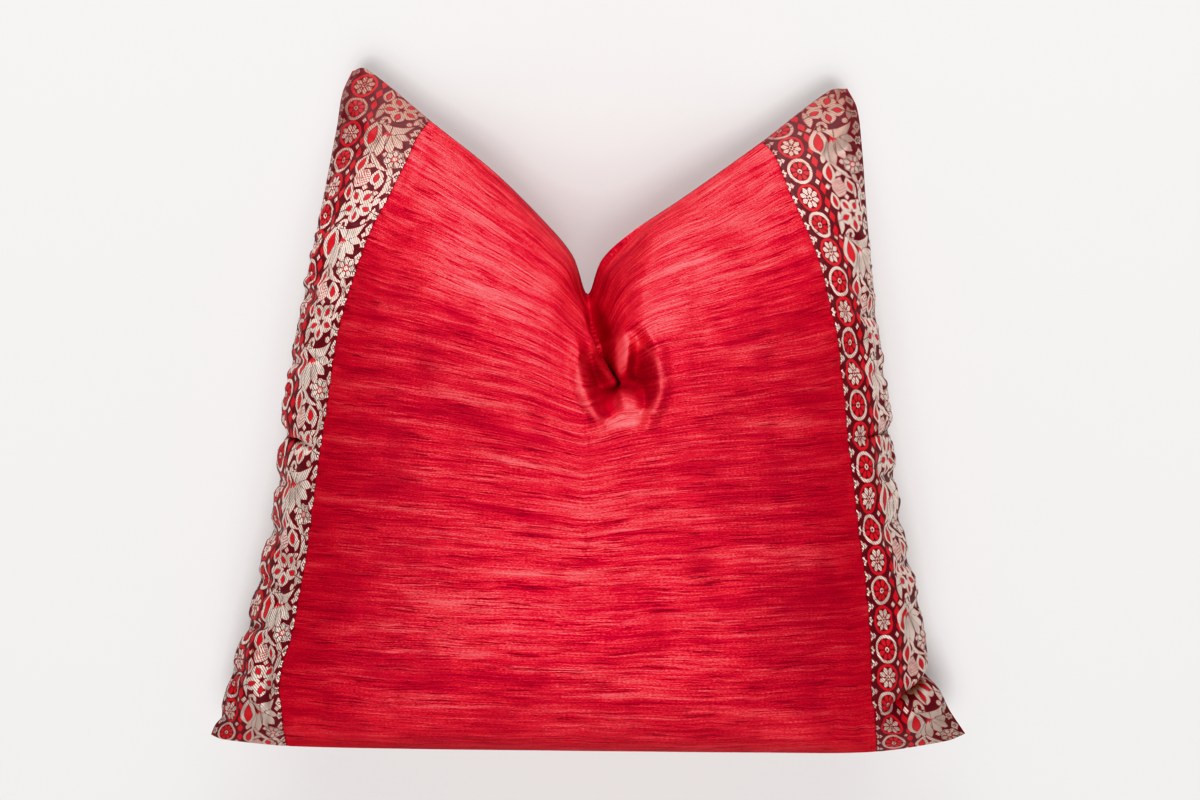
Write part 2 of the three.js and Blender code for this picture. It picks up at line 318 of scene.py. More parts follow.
# Waves of the cloth's surface: count across, count up, phase and height; then depths and widths
surface = {
    "lumps": ((1.6, 2.3, 0.4, 0.9), (3.1, -1.4, 2.1, 0.7), (4.3, 2.9, 5.2, 0.5),
              (-5.2, 4.1, 1.3, 0.4), (7.9, 1.2, 3.3, 0.35)),
    "creases": ((9.0, 3.5, 0.6, 0.30), (-11.5, 6.0, 2.6, 0.25), (14.0, 2.0, 4.1, 0.22),
                (-6.5, 9.0, 1.2, 0.22)),
    "gathers": ((3.0, 31, 0.3, 0.5), (-5.0, 44, 1.9, 0.35), (4.0, 23, 4.4, 0.45), (0.0, 57, 2.6, 0.2)),
    "lumpsFade": 60.0,  # how far from a seam the lumps are whole
    "atSeam": (0.38, 16.0), "atSide": (0.9, 30.0),  # gathers along the border and the side seams
    "seamDip": (0.9, 1.6), "sideDip": (1.0, 2.0), "endDip": (0.8, 2.0),
    "creaseDip": (0.8, 2.0), "creaseX": 3.0,  # the pressed crease
}


def seamDistances(u, v):
    # how far the cloth is from the nearest border seam, side seam, and bottom or top seam
    border, across = cover["borderShare"], cover["across"]
    fromSeam = np.minimum(np.abs(u - border), np.abs(u - 1 + border)) * across
    return fromSeam, np.minimum(u, 1 - u) * across, np.minimum(v, 1 - v) * across


def clothRelief(u, v):
    # height of the cloth off its smooth form: broad lumps of the filling, fine gathers along the two border
    # seams and the side seams, the rolled-in seams themselves, and the pressed crease down the middle
    fromSeam, fromSide, fromEnd = seamDistances(u, v)
    swayU, swayV = u + 0.035 * np.sin(9 * v + 4 * u), v + 0.03 * np.sin(11 * u - 5 * v)
    relief = waves(u, v, surface["lumps"]) + waves(swayU, swayV, surface["creases"])
    relief = relief * smooth(fromSide / surface["lumpsFade"]) * smooth(fromEnd / surface["lumpsFade"])
    pucker = waves(u, v, surface["gathers"]) * (1 - 0.85 * smooth((v - 0.66) / 0.2))
    sidePucker = pucker * smooth(fromSide / 8)
    for name, away, more in (("atSeam", fromSeam, pucker), ("atSide", fromSide, sidePucker),
                             ("sideDip", fromSide, -1), ("endDip", fromEnd, -1)):
        height, width = surface[name]
        relief = relief + more * height * np.exp(-away / width)
    pressed = smooth((0.62 - v) / 0.05) * smooth((v - 0.2) / 0.15)
    fromCrease = (u - 0.5) * cover["across"] - surface["creaseX"]
    for name, away, more in (("seamDip", fromSeam, 1), ("creaseDip", fromCrease, pressed)):
        height, width = surface[name]
        relief = relief - more * height * np.exp(-(away / width) ** 2)
    return relief


def spaced(*stops):
    # values from stop to stop, each stop given with the number of equal steps that lead to it
    parts = [np.array([stops[0]])]
    here = stops[0]
    for stop, steps in stops[1:]:
        parts.append(here + (stop - here) * np.arange(1, steps + 1) / steps)
        here = stop
    return np.concatenate(parts)


def faceGrid(us, vs, settled=None):
    # the face on a grid, with its relief and, where given, the way that the cloth settled
    u, v = np.meshgrid(us, vs, indexing="ij")
    grid = frontPoint(u, v)
    if settled is not None:
        grid = grid + settled(u, v)
    normal = squareOn(grid)
    return grid + normal * clothRelief(u, v)[..., None], normal


def meshPiece(name, points, corners, starts):
    # an object from points in millimetres, its faces' corners one after another, and where each face starts
    mesh = bpy.data.meshes.new(name)
    mesh.vertices.add(len(points))
    mesh.vertices.foreach_set("co", (points * 0.001).ravel())
    mesh.loops.add(len(corners))
    mesh.loops.foreach_set("vertex_index", corners)
    mesh.polygons.add(len(starts))
    mesh.polygons.foreach_set("loop_start", starts)
    mesh.update(calc_edges=True)
    piece = bpy.data.objects.new(name, mesh)
    bpy.context.collection.objects.link(piece)
    return piece


def cellsOf(index, turned=False):
    # the four corners of each cell of a grid of point numbers; turned cells face the other way
    a, b, c, d = index[:-1, :-1], index[1:, :-1], index[1:, 1:], index[:-1, 1:]
    corners = (a, d, c, b) if turned else (a, b, c, d)
    return np.stack([corner.ravel() for corner in corners], 1)


def closedPiece(name, upper, lower, upperFlat, lowerFlat, ratio=1):
    # the solid between two grids with a wall all round; the lower grid has every ratio-th line of the upper
    # one, so each wall is a fan of ratio triangles and one more. Flat holds each grid's cloth place
    nu, nv = upper.shape[:2]
    mu, mv = lower.shape[:2]
    top = np.arange(nu * nv).reshape(nu, nv)
    low = nu * nv + np.arange(mu * mv).reshape(mu, mv)
    quads = np.concatenate([cellsOf(top), cellsOf(low, True)])
    triangles = []
    rims = ((top[:, 0], low[:, 0]), (top[-1], low[-1]),
            (top[::-1, -1], low[::-1, -1]), (top[0, ::-1], low[0, ::-1]))
    for above, below in rims:
        j = np.arange(len(above) - 1)
        triangles.append(np.stack([above[j], below[j // ratio], above[j + 1]], 1))
        m = np.arange(len(below) - 1)
        triangles.append(np.stack([above[(m + 1) * ratio], below[m], below[m + 1]], 1))
    triangles = np.concatenate(triangles)
    points = np.concatenate([upper.reshape(-1, 3), lower.reshape(-1, 3)])
    points[:, 0] += cover["shiftX"]
    flat = np.concatenate([upperFlat.reshape(-1, 2), lowerFlat.reshape(-1, 2)])
    corners = np.concatenate([quads.ravel(), triangles.ravel()])
    starts = np.concatenate([4 * np.arange(len(quads)), 4 * len(quads) + 3 * np.arange(len(triangles))])
    piece = meshPiece(name, points, corners, starts)
    piece.data.validate()
    layer = piece.data.uv_layers.new(name="cloth")
    layer.data.foreach_set("uv", flat[corners].ravel())
    piece.data.shade_smooth()
    piece.data.set_sharp_from_angle(angle=math.radians(cover["sharpFrom"]))
    return piece


def backPlace(us, vs):
    # the cloth place of the back's grid points, in metres
    return np.stack(np.meshgrid(us, vs, indexing="ij"), -1) * cover["across"] / 1000


def lengthsAlong(grid, axis):
    # length along the grid's lines from their first point, as the sum of the straight steps
    steps = np.linalg.norm(np.diff(grid, axis=axis), axis=-1)
    return np.concatenate([np.zeros_like(np.take(steps, [0], axis)), np.cumsum(steps, axis)], axis)


threads = {
    "drawn": 0.6,  # share of the dent's extra length that pulls the rows to it
    "easeFrom": 0.58,  # the v from which up the pull eases off
    "even": (12, 5.0),  # steps of two millimetres over which it is evened, and the bell's width
    "gathered": 24.0,  # rows gathered under the hanging fold's tip
    "tip": (25.0, 19.0), "tipWide": 15.0, "tipBelow": 21.0, "tipAbove": 13.0,
    "skew": 0.26, "earSkew": 0.1,  # slant of the borders' threads against the grid's rows
    "skewFrom": (58.0, -24.0),  # where the slant turns, from the left and the right edge
    "ears": 0.76, "earLift": 5.0,  # the v where the ears begin, and how far the threads rise there
}


def rowPull(us, vs):
    # how far the panel's rows are drawn towards the dent: the extra length that the dent takes along each
    # thread, spread evenly sideways and eased off up to the top seam and down to the middle of the panel,
    # and a bell of rows gathered up under the tip of the hanging fold
    u, v = np.meshgrid(us, vs, indexing="ij")
    extra = lengthsAlong(frontPoint(u, v), 1) - lengthsAlong(frontPoint(u, v, False), 1)
    marks = np.linspace(us[0], us[-1], 330)
    even = np.stack([np.interp(marks, us, extra[:, j]) for j in range(len(vs))], 1)
    steps, width = threads["even"]
    bell = np.exp(-(np.arange(-steps, steps + 1) / width) ** 2)
    bell = bell / bell.sum()
    even = np.stack([np.convolve(even[:, j], bell, "same") for j in range(len(vs))], 1)
    extra = threads["drawn"] * np.stack([np.interp(us, marks, even[:, j]) for j in range(len(vs))], 1)
    x, y, z = planPoint(u, v)
    dx, dy = x - threads["tip"][0], y - threads["tip"][1]
    high = np.where(dy < 0, threads["tipBelow"], threads["tipAbove"])
    gathered = threads["gathered"] * np.exp(-(dx / threads["tipWide"]) ** 2 - (dy / high) ** 2)
    eased = extra[:, -1:] * smooth((v - threads["easeFrom"]) / (1 - threads["easeFrom"]))
    return extra - eased - gathered


def facePlace(us, vs, byRows=False):
    # the cloth place of the face's grid points, in metres: how far they lie along the undented cloth from
    # the left side seam and from the bottom seam, each strip keeping its own cut width across. The borders'
    # threads lie less steep than the grid's rows; by rows, the grid's rows are the cloth's threads. In the
    # ears, where the cloth stands up at the seam, the way across is measured on the plan
    border, across = cover["borderShare"], cover["across"]
    marks = spaced(0, (border, 40), (1 - border, 120), (1, 40))
    u, v = np.meshgrid(marks, vs, indexing="ij")
    form = frontPoint(u, v, False)
    walked, onPlan = lengthsAlong(form, 0), lengthsAlong(form[..., :2], 0)
    walked = walked + (onPlan - walked) * smooth((vs - threads["ears"]) / 0.2)
    cutAt = np.array([0, border, 1 - border, 1]) * across
    seams = walked[[0, 40, 160, 200]]
    x, y = np.empty((len(us), len(vs))), np.empty((len(us), len(vs)))
    climbed = lengthsAlong(form, 1)
    for j in range(len(vs)):
        x[:, j] = np.interp(np.interp(us, marks, walked[:, j]), seams[:, j], cutAt)
        y[:, j] = np.interp(us, marks, climbed[:, j])
    if byRows:
        y = vs * across + rowPull(us, vs)
    else:
        skew = threads["skew"] + threads["earSkew"] * smooth((vs - 0.84) / 0.16)
        left, right = threads["skewFrom"]
        y = y - skew * np.where(x < across / 2, x - left, across + right - x)
        y = y - threads["earLift"] * smooth((vs - threads["ears"]) / (1 - threads["ears"]))
    return np.stack([x, y], -1) / 1000


settling = {
    "cells": 128,  # cells of the simulated sheet each way, about 5 mm of cloth
    "frames": 20,
    "cloth": {  # Blender's own settings of a cloth; what shrinks by less than 0 grows
        "quality": 6, "mass": 0.2, "tension_stiffness": 25, "compression_stiffness": 25,
        "shear_stiffness": 8, "bending_stiffness": 0.4, "use_pressure": True, "uniform_pressure_force": 3.0,
        "vertex_group_mass": "held", "pin_stiffness": 1.2,
        "vertex_group_shrink": "plain", "shrink_min": -0.055, "shrink_max": 0,
    },
    "easeReach": 70.0,  # how far in from the side seams the extra cloth goes
    "endReach": 40.0,  # and from the bottom and top seams it begins
    "earLack": 0.8,  # share of it that the ears go without
    "hold": 0.10,  # how firmly the filling keeps the form, 1 being rigid
    "seamHold": 0.45, "seamReach": 4.0,
    "dentHold": 0.9, "dentMiddle": 22.0, "dentHalf": 40.0,
    "dentFade": 14.0, "dentFoot": -45.0, "dentRise": 25.0,
    "levels": 50,  # steps that the weights come in
    "farthest": 24.0,  # cap on how far a point may move
}


def settlingWeights(u, v):
    # how firmly each point is held, most at the seams and in the dent, and how little extra cloth it has,
    # the extra cloth falling off with a bell from the side seams
    fromSeam, fromSide, fromEnd = seamDistances(u, v)
    x, y, z = planPoint(u, v)
    beside = np.maximum(0, np.abs(x - settling["dentMiddle"]) - settling["dentHalf"]) / settling["dentFade"]
    nearDent = np.exp(-beside ** 2) * smooth((y - settling["dentFoot"]) / settling["dentRise"])
    more = settling["seamHold"] - settling["hold"]
    hold = settling["hold"] + more * np.exp(-fromSeam / settling["seamReach"])
    hold = np.maximum(hold, settling["dentHold"] * nearDent)
    hold = np.maximum(hold, np.where((fromSide < 1) | (fromEnd < 1), 1.0, 0.0))
    eased = np.exp(-(fromSide / settling["easeReach"]) ** 2) * smooth(fromEnd / settling["endReach"])
    eased = eased * (1 - settling["earLack"] * smooth((v - 0.7) / 0.18))
    return hold, 1 - eased


def settleCloth():
    # cloth simulation of the face: a sheet in the cushion's form, blown out from inside, held at its seams
    # and in the dent, with extra cloth towards the side seams that buckles into gathers. It gives the way
    # each point moved, in millimetres, on the sheet's own grid
    cells, levels = settling["cells"], settling["levels"]
    n = cells + 1
    lines = np.arange(n) / cells
    u, v = np.meshgrid(lines, lines, indexing="ij")
    form = frontPoint(u, v)
    quads = cellsOf(np.arange(n * n).reshape(n, n))
    sheet = meshPiece("settlingSheet", form.reshape(-1, 3), quads.ravel(), 4 * np.arange(len(quads)))
    for name, weights in zip(("held", "plain"), settlingWeights(u, v)):
        group = sheet.vertex_groups.new(name=name)
        nearest = np.round(weights.ravel() * levels).astype(int)
        for level in range(levels + 1):
            members = np.flatnonzero(nearest == level)
            if len(members):
                group.add(members.tolist(), level / levels, "REPLACE")

    cloth = sheet.modifiers.new("settle", "CLOTH")
    for name, value in settling["cloth"].items():
        setattr(cloth.settings, name, value)
    cloth.settings.effector_weights.gravity = 0
    cloth.collision_settings.use_collision = False
    scene = bpy.context.scene
    cloth.point_cache.frame_start, cloth.point_cache.frame_end = 1, settling["frames"]
    for moment in range(1, settling["frames"] + 1):
        scene.frame_set(moment)
    settledMesh = sheet.evaluated_get(bpy.context.evaluated_depsgraph_get()).data
    moved = np.empty(3 * n * n, np.float32)
    settledMesh.vertices.foreach_get("co", moved)
    moved = moved.reshape(n, n, 3) * 1000.0 - form
    mesh = sheet.data
    bpy.data.objects.remove(sheet)
    bpy.data.meshes.remove(mesh)
    scene.frame_set(1)
    far = np.linalg.norm(moved, axis=-1, keepdims=True)
    print("stage: cloth settled, mean and farthest move in mm", float(far.mean()), float(far.max()))
    return moved * np.minimum(1, settling["farthest"] / np.maximum(far, 1e-6))


def cubicShares(at, cells):
    # for each place on a line of cells: its four nearest marks and their cubic weights
    t = np.clip(at, 0, 1) * cells
    i = np.minimum(t.astype(int), cells - 1)
    t = t - i
    near = np.clip(i[:, None] + np.arange(-1, 3), 0, cells)
    t2, t3 = t ** 2, t ** 3
    return near, np.stack([-t + 2 * t2 - t3, 2 - 5 * t2 + 3 * t3, t + 4 * t2 - 3 * t3, t3 - t2], -1) / 2


def settledAt(u, v):
    # the settled sheet's moves on a finer grid, by cubics along both directions
    cells = settling["cells"]
    near, share = cubicShares(u[:, 0], cells)
    rows = np.einsum("ik,ikjc->ijc", share, settledMoves[near])
    near, share = cubicShares(v[0], cells)
    return np.einsum("jk,ijkc->ijc", share, rows[:, near])


settledMoves = settleCloth()
settled = None if settledMoves is None else settledAt
vLines = spaced(0, (0.02, 8), (0.5, 96), (0.9, 136), (0.98, 24), (1, 8))  # finer at the seams and the dent
print("stage: shape ready", len(vLines), "rows")


# The filled cushion with the centre panel as its face. Its sides lie in beds under the borders
centre = {
    "steps": 4,  # steps of the face to one of the underside
    "inset": 0.006,  # how far in from the side seams it ends
    "fine": 0.02, "dent": (0.41, 0.6),  # finer steps run beside the border seams and across the dent
}


def buildCentre():
    border, bed = cover["borderShare"], cover["clothThick"] + cover["play"]
    inset, fine, steps = centre["inset"], centre["fine"], centre["steps"]
    dentLeft, dentRight = centre["dent"]
    left, right = spaced(inset, (border, 6)), spaced(1 - border, (1 - inset, 6))
    panel = spaced(border, (border + fine, 8), (dentLeft, 50), (dentRight, 80), (1 - border - fine, 52),
                   (1 - border, 8))
    us = np.concatenate([left, panel, right])
    us = np.concatenate([us, np.full((-(len(us) - 1)) % steps, us[-1] + 0.001)])  # whole steps below
    bedded = np.ones(len(us))
    bedded[len(left):len(left) + len(panel)] = 0
    grid, normal = faceGrid(us, vLines, settled)
    upper = grid - normal * bed * bedded[:, None, None]
    backUs, backVs = us[::steps], vLines[::steps]
    u, v = np.meshgrid(backUs, backVs, indexing="ij")
    lower = backPoint(u, v)
    lower = lower + squareOn(lower) * bed
    flat, backFlat = facePlace(us, vLines, True), backPlace(backUs, backVs)
    return closedPiece("cushionCentre", upper, lower, flat, backFlat, steps)


# The borders, woven strips from the side seams to the centre panel. slack is the gap at the seam line in mm;
# finer steps run beside the outer and the inner seam
borders = {"slack": 0.4, "outer": 0.012, "inner": 0.015}


def buildBorder(name, side):
    border, outer, inner = cover["borderShare"], borders["outer"], borders["inner"]
    slack = borders["slack"] / cover["across"]
    if side < 0:
        us = spaced(0, (outer, 6), (border - inner, 30), (border - slack, 8))
    else:
        us = spaced(1 - border + slack, (1 - border + inner, 8), (1 - outer, 30), (1, 6))
    grid, normal = faceGrid(us, vLines, settled)
    flat = facePlace(us, vLines)
    return closedPiece(name, grid, grid - normal * cover["clothThick"], flat, flat)


back = {"edge": 0.03, "across": 90, "up": 100}  # where the fine steps at its seams end, and steps between


def buildBack():
    edge = back["edge"]
    us, vs = (spaced(0, (edge, 8), (1 - edge, back[way]), (1, 8)) for way in ("across", "up"))
    u, v = np.meshgrid(us, vs, indexing="ij")
    under = backPoint(u, v)
    flat = backPlace(us, vs)
    return closedPiece("cushionBack", under + squareOn(under) * cover["clothThick"], under, flat, flat)


centrePiece = buildCentre()
leftPiece = buildBorder("cushionBorderLeft", -1)
rightPiece = buildBorder("cushionBorderRight", 1)
backPiece = buildBack()
pieces = (centrePiece, leftPiece, rightPiece, backPiece)
print("stage: pieces built", [len(piece.data.polygons) for piece in pieces])


class Value:
    # a number on a material's nodes
    def __init__(self, kit, socket):
        self.kit, self.socket = kit, socket

    def __rsub__(self, other):
        return self.kit.math("SUBTRACT", other, self)


# Arithmetic with a value adds nodes, with | for the greater of two and & for the lesser
for sign, how in (("add", "ADD"), ("sub", "SUBTRACT"), ("mul", "MULTIPLY"), ("truediv", "DIVIDE"),
                  ("or", "MAXIMUM"), ("and", "MINIMUM"), ("abs", "ABSOLUTE")):
    setattr(Value, f"__{sign}__", lambda *values, how=how: values[0].kit.math(how, *values))


class NodeKit:
    # short calls that add nodes to one material
    def __init__(self, name):
        self.material = bpy.data.materials.new(name)
        self.material.use_nodes = True
        self.tree = self.material.node_tree
        self.shader = next(n for n in self.tree.nodes if n.type == "BSDF_PRINCIPLED")

    def put(self, socket, value):
        if isinstance(value, Value):
            self.tree.links.new(value.socket, socket)
        else:
            socket.default_value = value

    def fill(self, made, **values):
        for name, value in values.items():
            self.put(made.inputs[name.replace("_", " ")], value)
        return Value(self, made.outputs[0])

    def node(self, kind, **values):
        return self.fill(self.tree.nodes.new("ShaderNode" + kind), **values)

    def math(self, how, *values):
        made = self.tree.nodes.new("ShaderNodeMath")
        made.operation = how
        for socket, value in zip(made.inputs, values):
            self.put(socket, value)
        return Value(self, made.outputs[0])

    def noise(self, x, y, seed=0.0, detail=2.0, rough=0.5):
        # noise whose marks are about one unit of x by one of y
        spot = self.node("CombineXYZ", X=x, Y=y, Z=seed)
        return self.node("TexNoise", Vector=spot, Scale=1.0, Detail=detail, Roughness=rough)

    def ramp(self, value, low, high, toLow=0.0, toHigh=1.0):
        made = self.tree.nodes.new("ShaderNodeMapRange")
        made.interpolation_type = "SMOOTHSTEP"
        return self.fill(made, Value=value, From_Min=low, From_Max=high, To_Min=toLow, To_Max=toHigh)

    def mix(self, share, first, second):
        made = self.tree.nodes.new("ShaderNodeMix")
        made.data_type = "RGBA"
        self.put(made.inputs[0], share)
        for socket, colour in ((made.inputs[6], first), (made.inputs[7], second)):
            self.put(socket, colour if isinstance(colour, Value) else paint(colour))
        return Value(self, made.outputs[2])

    def bump(self, height, distance, strength=1.0):
        return self.node("Bump", Height=height, Distance=distance, Strength=strength)

    def inMillimetres(self, place):
        # the first two parts of a place given in metres
        split = self.tree.nodes.new("ShaderNodeSeparateXYZ")
        self.tree.links.new(place, split.inputs[0])
        return Value(self, split.outputs[0]) * 1000, Value(self, split.outputs[1]) * 1000

    def clothPlace(self):
        # how far across the cloth from the left side seam, and up from the bottom seam
        made = self.tree.nodes.new("ShaderNodeUVMap")
        made.uv_map = "cloth"
        return self.inMillimetres(made.outputs[0])

    def planPlace(self):
        # right and up on the floor plan, from the origin
        return self.inMillimetres(self.tree.nodes.new("ShaderNodeTexCoord").outputs["Object"])

    def finish(self, **values):
        self.fill(self.shader, **values)
        return self.material


def paint(rgb):
    # screen colour, 0 to 255, as linear light
    linear = [((c / 255 + 0.055) / 1.055) ** 2.4 if c > 10 else c / 255 / 12.92 for c in rgb]
    return (*linear, 1.0)


def turned(x, y, degrees):
    # x and y on axes turned by some degrees
    c, s = math.cos(math.radians(degrees)), math.sin(math.radians(degrees))
    return x * c + y * s, y * c - x * s


def far(x, y):
    # distance from the place where x and y are both 0
    return x.kit.math("SQRT", x * x + y * y)


# A ramp is given by the two values that it runs between and, where not 0 and 1, by what it gives there
silk = {
    "body": (224, 55, 68), "dark": (168, 20, 42), "light": (248, 104, 110),
    # pressed is the dark red of painted shade, in the dent and towards the side and bottom seams
    "slub": (108, 4, 24), "pressed": (170, 2, 24), "edgeTint": (150, 14, 28),
    "roughness": 0.44, "lustre": 0.42, "edgeGloss": 0.06,
    "thread": 0.00035,  # height of the thread, in metres
    "wanderScale": 0.02, "wander": 5.0,  # the threads stray up and down over this height, in mm
    "bodyTone": (0.42, 0.52), "lightTone": (0.50, 0.60),
    "slubTone": (0.55, 0.62), "patchTone": (0.42, 0.56), "slubShare": 0.8,
    "cloudScale": (0.022, 0.016), "cloudTone": (0.46, 0.66, 0.0, 0.38),
    "sidesPaintedShade": (140.0, 250.0, 0.0, 0.42),  # painted shade, darker by the distance from the middle line, in mm,
    "sideShadeRows": (560.0, 430.0),  # below the ears
    "footPaintedShade": (34.0, 4.0, 0.0, 0.75),  # and painted shade towards the bottom seam
    # painted shade in the dent's bowl and its gap, painted highlights over its fan, ridge, fold's edge and
    # rim
    "bowlPaintedShade": 0.7, "gapPaintedShade": 0.85, "paintedHighlight": 0.3, "foldPaintedHighlight": 0.55,
    "rimPaintedHighlight": 0.4, "rimOut": 0.03, "rimSharp": 7.0, "rimRows": (62.0, 46.0),
}

# Marks along the silk's threads: length and width in millimetres, the noise's seed, detail and roughness,
# and their share in the tone
silkMarks = {
    "grain": (2.2, 0.9, 21.0, 2.0, 0.5, 0.22),
    "fine": (38, 1.5, 9.0, 5.0, 0.70, 0.30),
    "streaks": (80, 4.2, 5.0, 5.0, 0.66, 0.26),
    "bands": (150, 15, 1.0, 2.0, 0.5, 0.22),
    "slubs": (34, 1.1, 13.0, 3.0, 0.6, 0.0),
    "patches": (60, 9, 17.0, 2.0, 0.5, 0.0),
}

# Parts of the dent as ovals on the floor plan, which place its painted shade and painted highlights:
# middle, half width, half height and turn in degrees
dentOvals = {
    "bowl": (25.5, 22, 31, 32, 0),
    "gap": (10, 66, 11, 40, 16),
    "fan": (31, 3, 13, 20, 22),
    "ridge": (27, 43, 7.5, 20, -4),
    "fold": (12.5, 33, 3.5, 18, 32),
}


def dentPaintedLight(kit, colour):
    # painted shade where the cloth lies in the dent's bowl and in the gap between the lobes, and painted
    # highlights over the fan, the ridge and the fold's edge, and over the bowl's rim
    px, py = kit.planPlace()
    ovals = {}
    for name, (x, y, wide, high, turn) in dentOvals.items():
        a, b = turned(px - x, py - y, turn)
        ovals[name] = 1.0 - far(a / wide, b / high)  # 1 in its middle, 0 on its edge, below 0 outside it
    folds = kit.ramp(ovals["ridge"], 0.0, 0.5) | kit.ramp(ovals["fold"], 0.0, 0.8, 0.0, 0.8)
    paintedLitMask = kit.ramp(ovals["fan"], 0.0, 0.6) | folds
    paintedShadeMask = kit.ramp(ovals["bowl"], 0.0, 0.4) * (1.0 - paintedLitMask) * silk["bowlPaintedShade"]
    colour = kit.mix(paintedShadeMask | kit.ramp(ovals["gap"], 0.0, 0.6) * silk["gapPaintedShade"], colour, silk["pressed"])
    colour = kit.mix(paintedLitMask * silk["paintedHighlight"] | folds * silk["foldPaintedHighlight"], colour, silk["light"])
    # painted highlight along the bowl's rim
    rim = 1.0 - abs((ovals["bowl"] + silk["rimOut"]) * silk["rimSharp"])
    rim = kit.ramp(rim, 0.0, 1.0) * kit.ramp(py, *silk["rimRows"])
    return kit.mix(rim * silk["rimPaintedHighlight"], colour, silk["light"])


def silkMaterial():
    # red silk: broad bands and fine ragged streaks run across the panel, with dark slubs here and there, and
    # painted shade darkens it towards the side seams and the bottom seam
    kit = NodeKit("slubbedSilk")
    x, y = kit.clothPlace()
    y = y + kit.noise(x * silk["wanderScale"], y * silk["wanderScale"]) * silk["wander"]
    marks = {name: kit.noise(x / long, y / wide, seed, detail, rough)
             for name, (long, wide, seed, detail, rough, share) in silkMarks.items()}
    tone = marks["grain"] * silkMarks["grain"][-1]
    for name in ("fine", "streaks", "bands"):
        tone = tone + marks[name] * silkMarks[name][-1]
    slubs = kit.ramp(marks["slubs"], *silk["slubTone"]) * kit.ramp(marks["patches"], *silk["patchTone"])
    colour = kit.mix(kit.ramp(tone, *silk["bodyTone"]), silk["dark"], silk["body"])
    colour = kit.mix(kit.ramp(tone, *silk["lightTone"]), colour, silk["light"])
    cloudsX, cloudsY = silk["cloudScale"]
    clouds = kit.noise(x * cloudsX, y * cloudsY, 31.0, 4.0, 0.6)
    colour = kit.mix(kit.ramp(clouds, *silk["cloudTone"]), colour, silk["dark"])
    # painted shade: darker towards the side seams below the ears, and towards the bottom seam
    fromMiddle = abs(x - cover["across"] / 2)
    paintedSideShade = kit.ramp(fromMiddle, *silk["sidesPaintedShade"]) * kit.ramp(y, *silk["sideShadeRows"])
    colour = kit.mix(paintedSideShade | kit.ramp(y, *silk["footPaintedShade"]), colour, silk["pressed"])
    colour = kit.mix(slubs * silk["slubShare"], colour, silk["slub"])
    height = marks["fine"] * 1.6 + slubs * 0.6 + marks["grain"] * 0.6
    colour = dentPaintedLight(kit, colour)
    return kit.finish(Base_Color=colour, Metallic=silk["lustre"], Roughness=silk["roughness"],
                      Specular_IOR_Level=silk["edgeGloss"], Specular_Tint=paint(silk["edgeTint"]),
                      Normal=kit.bump(height, silk["thread"]))


brocade = {
    "ground": (86, 24, 30), "groundLow": (66, 8, 14), "red": (192, 32, 40),
    "silver": (255, 242, 232), "shade": (156, 112, 94),
    "repeat": 102.0,  # length of the vine's repeat; four medallions go in it
    "medallionStep": -8.0,  # from the big flower to the nearest medallion
    "dots": (5.4, 83.4), "beads": (9.4, 33.0), "medallions": 21.2, "diamonds": 36.6, "floral": 60.8,
    "lozenge": 4.5, "rosette": 4.3, "bead": 2.1, "medallionRadius": 11.7, "ringHalf": 1.25,
    "sunk": 30.0,  # how far a shape is lowered where it isn't drawn
    "fullness": 1.14,  # how much fuller the vine's shapes are than in its table
    "outline": 0.55,  # red line round the silver shapes
    "parting": 0.55,  # half width of the dark line where two of them meet
    "hatch": 2.5, "weave": 0.9,  # periods of the thread's slant lines and of the ground's weave
    "borderTopPaintedShade": (470.0, 600.0), "borderFootPaintedShade": (110.0, 20.0, 0.0, 0.4),  # painted shade, darker at both ends
    "silverPaintedShade": 0.85, "borderPaintedShade": 0.36,
    "metal": 0.6, "roughness": (0.6, 0.45), "gloss": 0.3, "relief": 0.0005, "reliefShare": 0.9,
}

# The flowering vine's shapes, in millimetres from the big flower's middle: place, direction in degrees,
# length, width, how far the middle bends to its left, how much fatter the near end is, and how wide the rim
# round the red core is (0 for none)
vineShapes = table(
    "x y turn long wide bend fat core",
    (-14.6, -32.4, 83, 31, 14.4, 1.0, 0.5, 4.6),  # paisley
    (-11.6, -20.4, 62, 10, 5.0, 0.6, 0.3, 0.0),  # its neck
    (3.4, -18.4, 10, 29, 8.6, -8.4, 0.1, 0.0),  # horn opening upwards
    (-8.6, -45.0, 82, 24, 5.4, 1.2, 0.0, 0.0),  # fan of leaflets
    (-3.4, -44.4, 88, 24, 8.0, 1.4, 0.2, 0.0),
    (3.6, -41.4, 112, 21, 7.6, 1.2, 0.2, 0.0),
    (8.6, -37.0, 138, 19, 7.4, 0.8, 0.2, 0.0),
    (11.2, -31.0, 166, 17, 6.4, 0.4, 0.0, 0.0),
    (1.2, 43.3, -39, 31, 3.8, -4.6, 0.0, 0.0),  # vine
    (12.0, 21.0, -90, 31, 4.0, 6.4, 0.0, 0.0),
    (11.4, 20.0, 66, 11, 4.4, 0.8, 0.0, 0.0),
    (9.8, 10.6, 34, 10, 4.2, 0.8, 0.0, 0.0),
    (-15.2, 51.0, 62, 11, 4.6, 0.6, 0.0, 0.0),
    (15.6, 33.4, 120, 12, 4.6, 1.0, 0.0, 0.0),
    (-4.4, 35.6, 20, 10, 4.0, 1.2, 0.0, 0.0),
    (16.2, 4.4, 60, 9, 4.4, 0.8, 0.0, 0.0),
    (-13.2, 38.0, 80, 21, 10.4, 1.0, 0.35, 3.4),  # its buds
    (5.6, 26.4, 100, 16, 11.0, 0.0, 0.3, 3.8),
    (-15.8, 12.0, 97, 16, 8.2, 0.0, 0.2, 2.9),
    (-16.9, -7.4, 84, 20, 5.6, -0.8, 0.0, 0.0),
    (17.0, -7.6, 80, 13, 4.6, -0.8, 0.0, 0.0),
)


def band(value, half):
    # depth inside the line along which a value is 0
    return half - abs(value)


